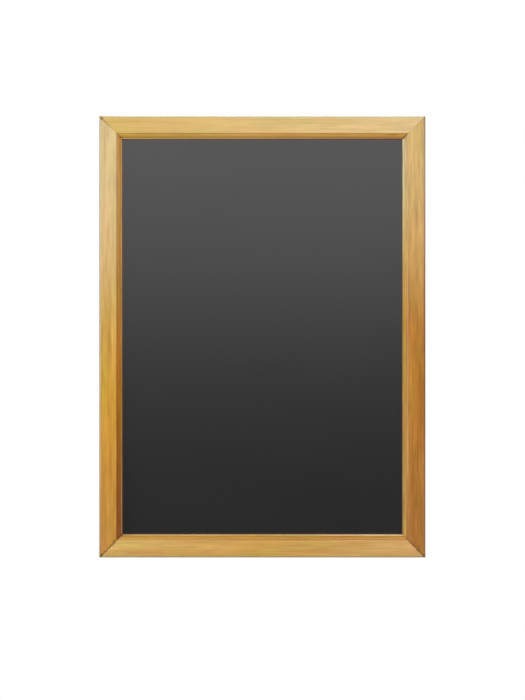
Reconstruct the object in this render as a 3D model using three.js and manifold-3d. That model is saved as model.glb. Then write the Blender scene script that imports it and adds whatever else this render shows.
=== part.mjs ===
// Wall chalkboard: a black hardboard panel in a mitred softwood frame, with hangers and bumpers behind it.
// Millimetres, +Z up, and the front faces -Y. Left and right are as seen from the front.
// The origin lies on the wall, midway between the two wall hooks that hold the board up.

import * as THREE from 'three';
import { mergeVertices } from 'three/addons/utils/BufferGeometryUtils.js';
import Module from 'manifold-3d';

const wasm = await Module();
wasm.setup();

// Frame
const frameWidth = 450;
const frameHeight = 609;
const hookDrop = 80; // from the frame's top edge down to the line of the wall hooks
const mitreGap = 0.3;

// Moulding section: rounded outer arris, flat face, quirk step, flat-arched bead, lip and a rebate behind
const mouldingWidth = 31;
const mouldingThickness = 18;
const outerArris = 3.5;
const faceArris = 0.8;
const quirkDrop = 1.4;
const beadWidth = 6;
const beadRadius = 13;
const lipWidth = 1.4;
const lipThickness = 3;
const rebateWidth = 7;
const rebateDepth = 7;

// Chalk panel
const panelThickness = 3;
const panelSideClearance = 1;
const panelSeatClearance = 0.1;

// V-nails, driven from the back across each mitre
const nailLeg = 7;
const nailThickness = 0.5;
const nailHeight = 10;
const nailFromEdge = 4.5;
const nailPitch = 9;
const nailClearance = 0.15;

// Flat points that hold the panel from behind
const pointWidth = 8;
const pointThickness = 0.7;
const pointInWood = 7;
const pointOverhang = 9;
const pointTipWidth = 2.4;
const pointClearance = 0.15;
const pointFromEnd = 110;
const railPointCount = 2;
const stilePointCount = 3;

// Hanger: a strap folded round the bar of a wire D-ring
const strapWidth = 10;
const strapThickness = 0.8;
const strapPlyGap = 0.15;
const strapJoggle = 4;
const strapEndMargin = 5;
const ringWire = 2;
const ringCorner = 2;
const ringRise = 3;
const ringSideClearance = 1;
const ringEyeClearance = 0.2;
const ringJointGap = 0.3;

// Pan-head screws of the hangers
const screwDiameter = 3.5;
const screwLength = 12;
const screwTip = 3;
const screwHeadDiameter = 7;
const screwHeadEdge = 0.6;
const screwHeadHeight = 2.2;
const screwPitch = 12;
const screwRingGap = 1.5;
const screwHoleClearance = 0.25;
const screwPilotClearance = 0.15;
const recessWidth = 0.9;
const recessLength = 3.8;
const recessDepth = 1.2;

// Rubber bumpers on the back
const bumperDiameter = 12;
const bumperFaceDiameter = 10;
const bumperHeight = 5;
const bumperFoot = 0.8;
const bumperFromEnd = 45;

// How finely round shapes are cut into flats
const arcSteps = 8;
const turnSteps = 24;
const eyeSteps = 16;
const wireSides = 10;
const wireSteps = 60;
const cutterOverrun = 1;

// Worked out from the sizes above
const backWidth = mouldingWidth - rebateWidth;
const faceWidth = mouldingWidth - lipWidth - beadWidth;
const lipFront = rebateDepth + lipThickness;
const beadDrop = mouldingThickness - quirkDrop - lipFront;
const panelBack = rebateDepth - panelSeatClearance - panelThickness;
const eyeOuter = ringWire / 2 + ringEyeClearance + strapThickness;
const ringRadius = strapWidth / 2 + ringSideClearance + ringCorner;
const hookReach = ringRise + ringRadius - ringWire / 2;
const ringReach = ringRise + ringRadius + ringWire / 2;
const strapTop = 2 * strapThickness + strapPlyGap;
const firstScrew = ringReach + screwRingGap + screwHeadDiameter / 2;
const strapLength = firstScrew + screwPitch + strapEndMargin;

const pineLacquer = { color: 0xc79a58, roughness: 0.38, metalness: 0 };
const chalkLacquer = { color: 0x1c1c1c, roughness: 0.45, metalness: 0 };
const zincSteel = { color: 0xb8bcc0, roughness: 0.35, metalness: 1 };
const nailSteel = { color: 0x8f9296, roughness: 0.45, metalness: 1 };
const bumperRubber = { color: 0x2a2a2b, roughness: 0.8, metalness: 0 };

// A closed three.js geometry as a manifold solid, and back again
function toSolid(geometry) {
  const bare = geometry.clone();
  bare.deleteAttribute('normal');
  bare.deleteAttribute('uv');
  const merged = mergeVertices(bare, 1e-4);
  const corners = merged.index.array;
  const kept = [];
  for (let i = 0; i < corners.length; i += 3) {
    const [a, b, c] = corners.slice(i, i + 3);
    if (a !== b && b !== c && c !== a) kept.push(a, b, c);
  }
  const vertProperties = merged.attributes.position.array;
  return new wasm.Manifold(new wasm.Mesh({ numProp: 3, vertProperties, triVerts: new Uint32Array(kept) }));
}

function toGeometry(solid) {
  const mesh = solid.getMesh();
  const geometry = new THREE.BufferGeometry();
  geometry.setAttribute('position', new THREE.BufferAttribute(mesh.vertProperties, 3));
  geometry.setIndex(new THREE.BufferAttribute(mesh.triVerts, 1));
  return geometry;
}

function cut(geometry, cutters) {
  const whole = toSolid(geometry);
  return toGeometry(cutters.reduce((rest, cutter) => rest.subtract(toSolid(cutter)), whole));
}

function named(name, geometry, finish) {
  const mesh = new THREE.Mesh(geometry, new THREE.MeshStandardMaterial(finish));
  mesh.name = name;
  return mesh;
}

// An outline drawn in X and Z, as thick as depth, from y = 0 towards the front
function plate(outline, depth) {
  const settings = { depth, bevelEnabled: false, curveSegments: arcSteps };
  return new THREE.ExtrudeGeometry(outline, settings).rotateX(Math.PI / 2);
}

// The same plate as a cutter, which starts a little behind y = 0 so that it breaks through the surface
function plateCutter(outline, depth) {
  return plate(outline, depth + cutterOverrun).translate(0, cutterOverrun, 0);
}

// Moulding section, drawn from the outer edge inwards (x) and from the back to the front (y)
function mouldingSection() {
  const section = new THREE.Shape();
  section.moveTo(0, 0);
  section.lineTo(backWidth, 0);
  section.lineTo(backWidth, rebateDepth);
  section.lineTo(mouldingWidth, rebateDepth);
  section.lineTo(mouldingWidth, lipFront);
  const foot = new THREE.Vector2(mouldingWidth - lipWidth, lipFront);
  const crown = new THREE.Vector2(faceWidth, lipFront + beadDrop);
  const chord = crown.clone().sub(foot);
  const toCentre = Math.sqrt(Math.max(beadRadius ** 2 - chord.lengthSq() / 4, 0));
  const intoWood = new THREE.Vector2(-chord.y, chord.x).normalize();
  const centre = foot.clone().add(crown).multiplyScalar(0.5).addScaledVector(intoWood, toCentre);
  const [start, end] = [foot, crown].map((point) => point.clone().sub(centre).angle());
  section.absarc(centre.x, centre.y, centre.distanceTo(foot), start, end, false);
  section.lineTo(faceWidth, mouldingThickness - faceArris);
  section.absarc(faceWidth - faceArris, mouldingThickness - faceArris, faceArris, 0, Math.PI / 2, false);
  section.absarc(outerArris, mouldingThickness - outerArris, outerArris, Math.PI / 2, Math.PI, false);
  section.closePath();
  return section;
}

// One frame member, lying as the bottom rail does, with the frame's centre at x = z = 0 and its back at y = 0.
// Each end is mitred by drawing its corners in by their distance from the outer edge.
function mitredMember(length, centreDistance) {
  const settings = { depth: length, steps: 1, bevelEnabled: false, curveSegments: arcSteps };
  const geometry = new THREE.ExtrudeGeometry(mouldingSection(), settings);
  const position = geometry.attributes.position;
  for (let i = 0; i < position.count; i += 1) {
    const inward = position.getX(i);
    const height = position.getY(i);
    const setback = inward + mitreGap / Math.SQRT2;
    const along = position.getZ(i) > length / 2 ? length - setback : setback;
    position.setXYZ(i, along - length / 2, -height, inward - centreDistance);
  }
  return geometry;
}

// V-nail outline: its apex lies on the mitre, and one leg runs into each member
function nailOutline(grow) {
  const near = -nailThickness / 2 - grow;
  const far = nailThickness / 2 + grow;
  const end = nailLeg + grow;
  const corners = [[near, near], [end, near], [end, far], [far, far], [far, end], [near, end]];
  return new THREE.Shape(corners.map(([x, z]) => new THREE.Vector2(x, z)));
}

// Flat point: its narrow tip is in the wood below z = 0, and its rounded tab lies over the panel
function pointOutline() {
  const half = pointWidth / 2;
  const outline = new THREE.Shape();
  outline.moveTo(-pointTipWidth / 2, -pointInWood);
  outline.lineTo(pointTipWidth / 2, -pointInWood);
  outline.lineTo(half, -pointInWood / 2);
  outline.lineTo(half, pointOverhang - half);
  outline.absarc(0, pointOverhang - half, half, 0, Math.PI, false);
  outline.lineTo(-half, -pointInWood / 2);
  outline.closePath();
  return outline;
}

function pointSlot() {
  const width = pointWidth + 2 * pointClearance;
  const height = pointThickness + 2 * pointClearance;
  const depth = pointInWood + pointClearance + cutterOverrun;
  const slot = new THREE.BoxGeometry(width, height, depth);
  return slot.translate(0, -pointThickness / 2, cutterOverrun - depth / 2);
}

// Hanger strap, about the ring's hinge axis: the side view of the folded strip, as (y, z)
function strapSection() {
  const eyeLine = eyeOuter - strapThickness / 2;
  const outerPly = strapTop - eyeOuter - strapThickness / 2;
  const line = [new THREE.Vector2(-eyeLine, -strapLength)];
  for (let i = 0; i <= eyeSteps; i += 1) {
    const turn = (Math.PI * i) / eyeSteps;
    line.push(new THREE.Vector2(-eyeLine * Math.cos(turn), eyeLine * Math.sin(turn)));
  }
  for (let i = 1; i <= arcSteps; i += 1) {
    const share = i / arcSteps;
    const y = THREE.MathUtils.lerp(eyeLine, outerPly, THREE.MathUtils.smoothstep(share, 0, 1));
    line.push(new THREE.Vector2(y, -strapJoggle * share));
  }
  line.push(new THREE.Vector2(outerPly, -strapLength));
  return stripOutline(line, strapThickness);
}

// The outline of a strip of one thickness that follows a line of points
function stripOutline(line, thickness) {
  const sides = [[], []];
  line.forEach((point, i) => {
    const before = line[Math.max(i - 1, 0)];
    const after = line[Math.min(i + 1, line.length - 1)];
    const along = after.clone().sub(before).normalize();
    const across = new THREE.Vector2(-along.y, along.x).multiplyScalar(thickness / 2);
    sides[0].push(point.clone().add(across));
    sides[1].unshift(point.clone().sub(across));
  });
  return new THREE.Shape([...sides[0], ...sides[1]]);
}

function strapPlan() {
  const half = strapWidth / 2;
  const plan = new THREE.Shape();
  plan.moveTo(half, -strapLength + half);
  plan.lineTo(half, eyeOuter + cutterOverrun);
  plan.lineTo(-half, eyeOuter + cutterOverrun);
  plan.lineTo(-half, -strapLength + half);
  plan.absarc(0, -strapLength + half, half, Math.PI, 2 * Math.PI, false);
  return plan;
}

function strapGeometry() {
  const settings = { depth: strapWidth, steps: 1, bevelEnabled: false };
  const strip = new THREE.ExtrudeGeometry(strapSection(), settings);
  const axes = [new THREE.Vector3(0, 1, 0), new THREE.Vector3(0, 0, 1), new THREE.Vector3(1, 0, 0)];
  strip.applyMatrix4(new THREE.Matrix4().makeBasis(...axes)).translate(-strapWidth / 2, 0, 0);
  const reach = eyeOuter + cutterOverrun;
  const plan = plate(strapPlan(), 2 * reach).translate(0, reach, 0);
  const shaped = toGeometry(toSolid(strip).intersect(toSolid(plan)));
  const holeRadius = screwDiameter / 2 + screwHoleClearance;
  const holes = screwPlaces.map((z) => (
    new THREE.CylinderGeometry(holeRadius, holeRadius, 2 * reach, turnSteps).translate(0, 0, z)
  ));
  return cut(shaped, holes);
}

// D-ring: a wire bent round from the middle of its straight bar and back, with a butt joint in the bar
class RingLine extends THREE.Curve {
  constructor() {
    super();
    const bar = ringRadius - ringCorner;
    this.flat = new THREE.Path();
    this.flat.moveTo(ringJointGap / 2, 0);
    this.flat.lineTo(bar, 0);
    this.flat.absarc(bar, ringCorner, ringCorner, -Math.PI / 2, 0, false);
    this.flat.lineTo(ringRadius, ringRise);
    this.flat.absarc(0, ringRise, ringRadius, 0, Math.PI, false);
    this.flat.lineTo(-ringRadius, ringCorner);
    this.flat.absarc(-bar, ringCorner, ringCorner, Math.PI, 1.5 * Math.PI, false);
    this.flat.lineTo(-ringJointGap / 2, 0);
  }

  getPoint(t, target = new THREE.Vector3()) {
    const { x, y } = this.flat.getPoint(t);
    return target.set(x, 0, y);
  }
}

function ringGeometry() {
  const wire = new THREE.Shape();
  for (let i = 0; i < wireSides; i += 1) {
    const turn = (2 * Math.PI * i) / wireSides;
    const x = (ringWire / 2) * Math.cos(turn);
    const y = (ringWire / 2) * Math.sin(turn);
    if (i === 0) wire.moveTo(x, y);
    else wire.lineTo(x, y);
  }
  wire.closePath();
  return new THREE.ExtrudeGeometry(wire, { steps: wireSteps, extrudePath: new RingLine() });
}

// Pan-head screw along Y, with the underside of its head at y = 0 and a cross recess
function screwGeometry() {
  const shank = screwDiameter / 2;
  const head = screwHeadDiameter / 2;
  const profile = [[0, -screwLength], [shank, screwTip - screwLength], [shank, 0], [head, 0]];
  for (let i = 0; i <= arcSteps; i += 1) {
    const turn = (Math.PI / 2) * (i / arcSteps);
    const y = screwHeadEdge + (screwHeadHeight - screwHeadEdge) * Math.sin(turn);
    profile.push([i === arcSteps ? 0 : head * Math.cos(turn), y]);
  }
  const points = profile.map(([r, y]) => new THREE.Vector2(r, y));
  const body = new THREE.LatheGeometry(points, turnSteps);
  const slotHeight = 2 * recessDepth;
  const slots = [[recessLength, recessWidth], [recessWidth, recessLength]].map(([x, z]) => (
    new THREE.BoxGeometry(x, slotHeight, z).translate(0, screwHeadHeight, 0)
  ));
  return cut(body, slots);
}

function pilotHole() {
  const radius = screwDiameter / 2 + screwPilotClearance;
  const depth = screwLength + screwPilotClearance;
  return new THREE.CylinderGeometry(radius, radius, depth, turnSteps).translate(0, -depth / 2, 0);
}

function bumperGeometry() {
  const foot = bumperDiameter / 2;
  const face = bumperFaceDiameter / 2;
  const edge = foot - face;
  const profile = [[0, 0], [foot, 0], [foot, bumperFoot]];
  for (let i = 1; i <= arcSteps; i += 1) {
    const turn = (Math.PI / 2) * (i / arcSteps);
    const y = bumperFoot + (bumperHeight - bumperFoot) * Math.sin(turn);
    profile.push([face + edge * Math.cos(turn), y]);
  }
  profile.push([0, bumperHeight]);
  return new THREE.LatheGeometry(profile.map(([r, y]) => new THREE.Vector2(r, y)), turnSteps);
}

const screwPlaces = [-firstScrew, -firstScrew - screwPitch];
const pockets = []; // cutters, each with the mesh whose place it shares
const members = [];

// The board's group stands at the frame's centre, on the plane of its back
const group = new THREE.Group();
const board = new THREE.Group();
board.position.set(0, -bumperHeight, hookDrop - frameHeight / 2);
group.add(board);

// Frame members, and the points along each
const rail = { kind: 'rail', length: frameWidth, reach: frameHeight / 2, points: railPointCount };
const stile = { kind: 'stile', length: frameHeight, reach: frameWidth / 2, points: stilePointCount };
const sides = [
  { side: 'bottom', turn: 0, ...rail },
  { side: 'right', turn: -0.5, ...stile },
  { side: 'top', turn: 1, ...rail },
  { side: 'left', turn: 0.5, ...stile },
];

for (const { side, kind, length, reach, turn, points } of sides) {
  const holder = new THREE.Group();
  holder.rotation.y = turn * Math.PI;
  const member = named(`${side}_${kind}`, mitredMember(length, reach), pineLacquer);
  members.push(member);
  holder.add(member);
  const pitch = (length - 2 * pointFromEnd) / (points - 1);
  for (let i = 0; i < points; i += 1) {
    const tab = named(`panel_point_${side}_${i + 1}`, plate(pointOutline(), pointThickness), nailSteel);
    const seat = -panelBack + panelSeatClearance + pointThickness;
    tab.position.set(pointFromEnd - length / 2 + i * pitch, seat, backWidth - reach);
    pockets.push({ cutter: pointSlot(), mesh: tab });
    holder.add(tab);
  }
  board.add(holder);
}

// Chalk panel, in the rebate
const panelWidth = frameWidth - 2 * (backWidth + panelSideClearance);
const panelHeight = frameHeight - 2 * (backWidth + panelSideClearance);
const panelGeometry = new THREE.BoxGeometry(panelWidth, panelThickness, panelHeight);
const panel = named('chalk_panel', panelGeometry, chalkLacquer);
panel.position.y = -panelBack - panelThickness / 2;
board.add(panel);

// V-nails, two across each mitre
const corners = [
  { corner: 'bottom_left', x: -1, z: -1, turn: 0 },
  { corner: 'bottom_right', x: 1, z: -1, turn: -0.5 },
  { corner: 'top_right', x: 1, z: 1, turn: 1 },
  { corner: 'top_left', x: -1, z: 1, turn: 0.5 },
];

for (const { corner, x, z, turn } of corners) {
  const holder = new THREE.Group();
  holder.position.set((x * frameWidth) / 2, 0, (z * frameHeight) / 2);
  holder.rotation.y = turn * Math.PI;
  ['outer', 'inner'].forEach((place, i) => {
    const nail = named(`corner_nail_${corner}_${place}`, plate(nailOutline(0), nailHeight), nailSteel);
    const apex = nailFromEdge + i * nailPitch;
    nail.position.set(apex, 0, apex);
    pockets.push({ cutter: plateCutter(nailOutline(nailClearance), nailHeight + nailClearance), mesh: nail });
    holder.add(nail);
  });
  board.add(holder);
}

// Hangers on the stiles, and a bumper near each corner
for (const { side, x } of [{ side: 'left', x: -1 }, { side: 'right', x: 1 }]) {
  const centre = x * (frameWidth / 2 - backWidth / 2);
  const hanger = new THREE.Group();
  hanger.position.set(centre, eyeOuter - bumperHeight, -hookReach);
  hanger.add(named(`hanger_strap_${side}`, strapGeometry(), zincSteel));
  hanger.add(named(`hanger_ring_${side}`, ringGeometry(), zincSteel));
  ['upper', 'lower'].forEach((place, i) => {
    const screw = named(`hanger_screw_${side}_${place}`, screwGeometry(), zincSteel);
    screw.position.set(0, strapTop - eyeOuter, screwPlaces[i]);
    pockets.push({ cutter: pilotHole(), mesh: screw });
    hanger.add(screw);
  });
  group.add(hanger);
  for (const [end, z] of [['top', 1], ['bottom', -1]]) {
    const bumper = named(`wall_bumper_${end}_${side}`, bumperGeometry(), bumperRubber);
    bumper.position.set(centre, 0, z * (frameHeight / 2 - bumperFromEnd));
    board.add(bumper);
  }
}

// Slots and pilot holes are cut in the members where the fittings go in
group.updateMatrixWorld(true);
for (const member of members) {
  const toMember = member.matrixWorld.clone().invert();
  const cutters = pockets.map(({ cutter, mesh }) => {
    const place = toMember.clone().multiply(mesh.matrixWorld);
    return cutter.clone().applyMatrix4(place);
  });
  member.geometry = cut(member.geometry, cutters);
}

export default group;
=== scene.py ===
import math

import bmesh
import bpy
from mathutils import Matrix, Vector, noise


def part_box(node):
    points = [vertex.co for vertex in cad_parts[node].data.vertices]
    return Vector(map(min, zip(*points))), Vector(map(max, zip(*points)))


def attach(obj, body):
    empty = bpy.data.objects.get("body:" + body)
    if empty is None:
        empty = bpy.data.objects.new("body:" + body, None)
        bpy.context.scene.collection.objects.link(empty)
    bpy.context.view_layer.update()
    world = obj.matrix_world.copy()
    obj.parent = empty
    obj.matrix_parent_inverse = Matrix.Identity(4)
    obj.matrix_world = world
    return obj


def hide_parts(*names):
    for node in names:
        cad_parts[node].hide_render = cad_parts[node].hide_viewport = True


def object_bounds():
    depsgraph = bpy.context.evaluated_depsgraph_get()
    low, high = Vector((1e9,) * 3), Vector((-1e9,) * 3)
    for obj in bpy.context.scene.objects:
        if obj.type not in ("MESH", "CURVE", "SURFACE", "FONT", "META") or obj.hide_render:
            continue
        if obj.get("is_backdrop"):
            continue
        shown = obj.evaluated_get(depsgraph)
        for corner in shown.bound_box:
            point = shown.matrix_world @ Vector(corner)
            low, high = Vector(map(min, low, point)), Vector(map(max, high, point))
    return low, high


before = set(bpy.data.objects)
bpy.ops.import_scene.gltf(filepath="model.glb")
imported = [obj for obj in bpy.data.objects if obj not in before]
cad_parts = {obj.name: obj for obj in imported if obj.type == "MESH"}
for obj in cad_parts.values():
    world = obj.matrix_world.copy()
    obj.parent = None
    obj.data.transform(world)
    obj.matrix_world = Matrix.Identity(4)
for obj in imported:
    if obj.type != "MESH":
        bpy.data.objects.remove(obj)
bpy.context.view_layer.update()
print("frame loaded:", len(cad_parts), "nodes")

# Meshes are modelled in millimetres and brought to metres when they are put in their place
mm = 0.001
halfTurn = math.pi
quarterTurn = halfTurn / 2

railLow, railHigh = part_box("bottom_rail")
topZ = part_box("top_rail")[1].z
backY = railHigh.y
faceY = railLow.y
halfWidth = -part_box("left_stile")[0].x
halfHeight = (topZ - railLow.z) / 2
centreZ = (topZ + railLow.z) / 2
boardCentre = Vector((0, backY, centreZ))


def turned(angle, axis="Y"):
    return Matrix.Rotation(angle, 4, axis)


def moved(x, y, z):
    return Matrix.Translation((x, y, z))


def only(kind, parts):
    return [part for part in parts if isinstance(part, kind)]


# A flat outline in x and z whose corners are (x, z, rounding)
def outlineFace(shape, corners, segments=12):
    verts = [shape.verts.new((x, 0, z)) for x, z, rounding in corners]
    face = shape.faces.new(verts)
    for vert, (x, z, rounding) in zip(verts, corners):
        if rounding:
            bmesh.ops.bevel(shape, geom=[vert], offset=rounding, offset_type="OFFSET", affect="VERTICES",
                            segments=segments, profile=0.5, material=-1)
    return list(shape.faces)


# The faces that a shape is carried on from would stay inside it, unless they are its very first
def insideFaces(faces):
    return [face for face in faces
            if any(other not in faces for edge in face.edges for other in edge.link_faces)]


def pulled(shape, faces, step):
    inside = insideFaces(faces)
    made = bmesh.ops.extrude_face_region(shape, geom=faces)
    bmesh.ops.translate(shape, verts=only(bmesh.types.BMVert, made["geom"]), vec=step)
    bmesh.ops.delete(shape, geom=inside, context="FACES_ONLY")
    return only(bmesh.types.BMFace, made["geom"])


def spun(shape, faces, centre, axis, angle, steps):
    inside = insideFaces(faces)
    made = bmesh.ops.spin(shape, geom=faces, cent=centre, axis=axis, angle=angle, steps=steps)
    front = only(bmesh.types.BMFace, made["geom_last"])
    bmesh.ops.delete(shape, geom=inside, context="FACES_ONLY")
    return front


# A round solid about y, from a chain of (radius, y) that starts and ends on the axis
def lathed(profile, steps):
    shape = bmesh.new()
    verts = [shape.verts.new((radius, y, 0)) for radius, y in profile]
    edges = [shape.edges.new(pair) for pair in zip(verts, verts[1:])]
    bmesh.ops.spin(shape, geom=verts + edges, cent=(0, 0, 0), axis=(0, 1, 0), angle=2 * halfTurn,
                   steps=steps, use_merge=True)
    bmesh.ops.remove_doubles(shape, verts=shape.verts, dist=0.0005)
    return shape


def softened(shape, edges, width, segments=2):
    bmesh.ops.bevel(shape, geom=edges, offset=width, offset_type="OFFSET", affect="EDGES",
                    segments=segments, profile=0.5, material=-1, clamp_overlap=True)


def sharpEdges(shape, least=40):
    shape.normal_update()
    return [edge for edge in shape.edges
            if edge.is_manifold and edge.calc_face_angle(0) > math.radians(least)]


def placed(shape, place):
    bmesh.ops.transform(shape, matrix=place @ Matrix.Scale(mm, 4), verts=shape.verts)
    bmesh.ops.recalc_face_normals(shape, faces=shape.faces)
    return shape


def asObject(name, shape):
    mesh = bpy.data.meshes.new(name)
    shape.to_mesh(mesh)
    shape.free()
    made = bpy.data.objects.new(name, mesh)
    bpy.context.scene.collection.objects.link(made)
    return made


def joined(name, shapes):
    whole = bmesh.new()
    for shape in shapes:
        mesh = bpy.data.meshes.new(name)
        shape.to_mesh(mesh)
        shape.free()
        whole.from_mesh(mesh)
        bpy.data.meshes.remove(mesh)
    return asObject(name, whole)


# A piece is cut by another or joined to it, then cleared of doubled points and slivers
def combined(piece, other, operation, keepOther=False):
    step = piece.modifiers.new("combine", "BOOLEAN")
    step.operation = operation
    step.solver = "EXACT"
    step.object = other
    bpy.context.view_layer.objects.active = piece
    bpy.ops.object.modifier_apply(modifier=step.name)
    if not keepOther:
        bpy.data.objects.remove(other)
    shape = bmesh.new()
    shape.from_mesh(piece.data)
    bmesh.ops.remove_doubles(shape, verts=shape.verts, dist=0.001 * mm)
    bmesh.ops.dissolve_degenerate(shape, edges=shape.edges, dist=0.001 * mm)
    shape.to_mesh(piece.data)
    shape.free()
    return piece


# Finish, body, slot and the solid it stands for; flat sides keep their shading beside rounded edges
def finished(piece, node, body, material, smoothing=38):
    piece.data.materials.clear()
    piece.data.materials.append(material)
    piece.data.shade_smooth()
    piece.data.set_sharp_from_angle(angle=math.radians(smoothing))
    weighting = piece.modifiers.new("even shading", "WEIGHTED_NORMAL")
    weighting.keep_sharp = True
    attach(piece, body)
    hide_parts(node)
    return piece


# The nodes of one material; an input takes a number, a colour or the output of another node
class Finish:
    def __init__(self, name):
        self.material = bpy.data.materials.new(name)
        self.material.use_nodes = True
        self.tree = self.material.node_tree
        self.shader = self.tree.nodes["Principled BSDF"]
        self.place = self.add("ShaderNodeTexCoord").outputs["Object"]

    def add(self, kind, inputs=(), **settings):
        node = self.tree.nodes.new(kind)
        for key, value in settings.items():
            setattr(node, key, value)
        for key, value in dict(inputs).items():
            self.feed(node.inputs[key], value)
        return node

    def feed(self, socket, value):
        if isinstance(value, bpy.types.NodeSocket):
            self.tree.links.new(value, socket)
        else:
            socket.default_value = value

    def math(self, operation, *values):
        return self.add("ShaderNodeMath", enumerate(values), operation=operation).outputs[0]

    def vector(self, operation, *values):
        return self.add("ShaderNodeVectorMath", enumerate(values), operation=operation).outputs[0]

    def mapped(self, vector, turn, shift):
        inputs = {"Vector": vector, "Rotation": turn, "Location": shift}
        return self.add("ShaderNodeMapping", inputs).outputs[0]

    def noise(self, vector, scale, detail=2, roughness=0.5, output="Fac"):
        stretched = self.vector("MULTIPLY", vector, scale)
        inputs = {"Vector": stretched, "Scale": 1, "Detail": detail, "Roughness": roughness}
        return self.add("ShaderNodeTexNoise", inputs).outputs[output]

    def ramp(self, value, *stops):
        node = self.add("ShaderNodeValToRGB", {0: value})
        points = node.color_ramp.elements
        while len(points) < len(stops):
            points.new(0.5)
        for point, (position, shade) in zip(points, stops):
            point.position = position
            point.color = (shade, shade, shade, 1) if isinstance(shade, (int, float)) else (*shade, 1)
        return node.outputs[0]

    def spread(self, value, low, high, to=(0, 1)):
        inputs = {"Value": value, "From Min": low, "From Max": high, "To Min": to[0], "To Max": to[1]}
        return self.add("ShaderNodeMapRange", inputs, clamp=True).outputs[0]

    def mix(self, factor, first, second, blend="MIX"):
        node = self.add("ShaderNodeMix", {0: factor}, data_type="RGBA", blend_type=blend)
        for socket, value in ((node.inputs[6], first), (node.inputs[7], second)):
            self.feed(socket, (*value, 1) if isinstance(value, tuple) else value)
        return node.outputs[2]

    def tinted(self, colour, tint):
        return self.mix(1.0, colour, tint, "MULTIPLY")

    # from one shade to another as the value goes past its middle, over twice the reach
    def swing(self, value, low, high, reach=0.2):
        return self.ramp(value, (0.5 - reach, low), (0.5 + reach, high))

    def relief(self, height, distance, strength):
        inputs = {"Height": height, "Distance": distance, "Strength": strength}
        self.feed(self.shader.inputs["Normal"], self.add("ShaderNodeBump", inputs).outputs[0])

    def surface(self, **values):
        for key, value in values.items():
            self.feed(self.shader.inputs[key.replace("_", " ").title()], value)
        return self.material


# The frame's moulding in mm: how far in from the outer edge, how high from the back, and the roundings
moulding = {
    "width": 31.0,
    "depth": 18.0,
    "arrisRounding": 3.5,
    "backRounding": 0.6,
    "rebate": 24.0,
    "rebateDepth": 7.0,
    "rebateRounding": 0.4,
    "quirk": 24.0,
    "quirkHeight": 16.6,
    "quirkRounding": 0.5,
    "beadMiddle": 27.81,
    "beadHeight": 14.4,
    "beadRounding": 4.25,
    "lip": 29.6,
    "lipHeight": 10.0,
    "lipRounding": 0.6,
    "sightRounding": 0.3,
}

# Lacquered pine. A scale is how fast a pattern changes along and across the grain, per metre.
pine = {
    "waver": {"scale": (1.7, 14, 14), "reach": (0.0, 0.0060, 0.0060)},
    "ripple": {"scale": (9, 90, 90), "reach": (0.0, 0.0010, 0.0010)},
    "ring": ((0, 0.0), (0.45, 0.12), (0.80, 0.72), (0.93, 1.0), (1.0, 0.05)),
    "patches": (4, 45, 45),
    "fibres": (16, 1500, 1500),
    "ducts": (38, 850, 850),
    "streaks": {"scale": (8, 190, 190), "tints": ((0.85, 0.80, 0.68), (1.13, 1.18, 1.30))},
    "flames": {"scale": (30, 260, 260), "tints": ((0.87, 0.84, 0.76), (1.13, 1.16, 1.24))},
    "drift": {"scale": (2.4, 26, 26), "tints": ((0.92, 0.88, 0.82), (1.05, 1.07, 1.10))},
    "blush": {"scale": (11, 60, 60), "tints": ((1.045, 0.96, 1.03), (0.96, 1.04, 0.90))},
    "specks": (420, 420, 420),
    "late": (0.67, 0.52, 0.37),
    "side": (1.04, 0.90, 1.0),
    "raw": (0.560, 0.400, 0.230),
    "rawLate": (0.42, 0.26, 0.12),
    "dirt": (0.15, 0.058, 0.010),
    "stainAt": (0.0, 0.33, 0.67, 0.95),
    "ior": 1.42,
    "roughness": 0.25,
    "rawRoughness": 0.62,
    "coatRoughness": 0.14,
}

# Where one finish, or one band of painted highlight and painted shade, gives way to the next, in mm from the
# outer edge, the face, a mitre or the back
fades = {
    "bead": (moulding["quirk"] - 0.1, moulding["quirk"] + 0.4),
    "brow": (moulding["quirk"] + 1.7, moulding["quirk"] + 2.7),
    "lip": (moulding["lip"] - 0.3, moulding["lip"] + 0.1),
    "arris": (0.0, 4.4),
    "arrisDepth": (1.2, 3.6),
    "side": (1.0, 4.4),
    "sideDepth": (2.0, 5.0),
    "mitreDirt": (1.3, 2.6),
    "mitreSpecks": (1.0, 5.0),
    "faceStart": (4.0, 4.5),
    "faceEnd": (22.5, 23.0),
    "chipDepth": (0.04, 0.35),
    "rebate": (moulding["rebate"] - 1.0, moulding["rebate"] - 0.4),
    "rebateDepth": (-9.5, -8.5),
    "back": (-1.3, -0.4),
}

# The mitres: how far each stands open, how its edges are eased, and how dark it is from tip to panel.
# A turn is given in half turns, here and for the members.
corners = {
    "bottom_left": {"x": -1, "z": -1, "turn": 0, "gap": 0.08, "ease": 0.12, "stain": (1.0, 0.7, 0.8, 1.0)},
    "bottom_right": {"x": 1, "z": -1, "turn": -0.5, "gap": 0.12, "ease": 0.12, "stain": (1.0, 1.0, 0.8, 0.1)},
    "top_right": {"x": 1, "z": 1, "turn": 1, "gap": 0.04, "ease": 0.04, "stain": (0.15, 0.1, 0.0, 1.0)},
    "top_left": {"x": -1, "z": 1, "turn": 0.5, "gap": 0.06, "ease": 0.05, "stain": (0.9, 0.6, 0.0, 0.7)},
}
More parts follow.
